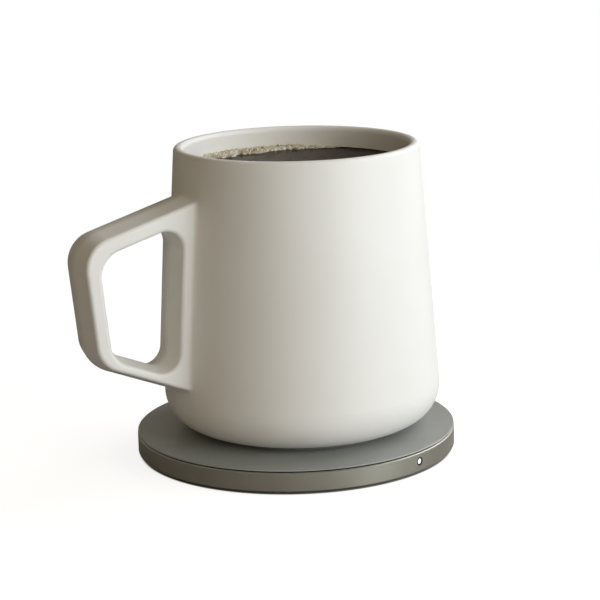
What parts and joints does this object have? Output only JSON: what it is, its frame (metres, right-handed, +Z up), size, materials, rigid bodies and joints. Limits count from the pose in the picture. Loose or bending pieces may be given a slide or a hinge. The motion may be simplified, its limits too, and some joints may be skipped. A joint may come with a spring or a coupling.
{
  "type": "electric mug warmer",
  "caption": "Thin round metal-banded warming pad with a lamp dot and power socket, and the matte white handled mug that stands on it.",
  "frame": {"origin": "centre of the pad's resting face", "axes": "+Z up; the mug's handle points along -X; the lamp dot is at 290 degrees round from +X and the power socket opposite it"},
  "size_m": [0.1277, 0.104, 0.1004],
  "materials": {
    "band_metal": "satin gunmetal metal, turned",
    "plate_satin": "satin cool grey coating",
    "cover_plastic": "fine moulded grain, black",
    "mat_silicone": "matte dark silicone",
    "screw_steel": "blackened steel",
    "lamp_white": "glowing white light pipe",
    "ring_dark": "black gloss",
    "socket_metal": "plated sheet metal",
    "tongue_black": "black moulding",
    "board_green": "green solder mask",
    "chip_black": "black moulded package",
    "capacitor_tan": "tan fired ceramic",
    "carrier_plastic": "natural heat-proof moulding",
    "shield_aluminium": "rolled sheet",
    "ferrite_grey": "sintered ferrite",
    "winding_copper": "enamelled copper strand",
    "mica_sheet": "mica sheet",
    "sensor_silicone": "soft white silicone",
    "sensor_glass": "sealed glass bead",
    "mug_ceramic": "matte white, lightly eggshell",
    "foot_silicone": "matte dark silicone",
    "film_silver": "fired silver film",
    "cap_grey": "sealed matte disc"
  },
  "bodies": {
    "warmer": {"rim_band": "band_metal", "top_plate": "plate_satin", "base_cover": "cover_plastic", "grip_mat": "mat_silicone", "cover_screws": "screw_steel", "lamp_pipe": "lamp_white", "lamp_ring": "ring_dark", "lamp_chip": "lamp_white", "socket_liner": "tongue_black", "socket_shell": "socket_metal", "socket_tongue": "tongue_black", "main_board": "board_green", "board_screws": "screw_steel", "power_chip": "chip_black", "control_chip": "chip_black", "power_choke": "chip_black", "board_capacitors": "capacitor_tan", "coil_carrier": "carrier_plastic", "shield_plate": "shield_aluminium", "ferrite_tiles": "ferrite_grey", "coil_winding": "winding_copper", "coil_leads": "winding_copper", "insulation_disc": "mica_sheet", "sensor_cup": "sensor_silicone", "sensor_bead": "sensor_glass"},
    "mug": {"mug_body": "mug_ceramic", "foot_ring": "foot_silicone", "heating_film": "film_silver", "film_cap": "cap_grey"}
  },
  "joints": [
    {"name": "mug_lift", "type": "slide", "parent": "warmer", "child": "mug", "axis": [0, 0, 1], "range_m": [0, 0.12]}
  ]
}
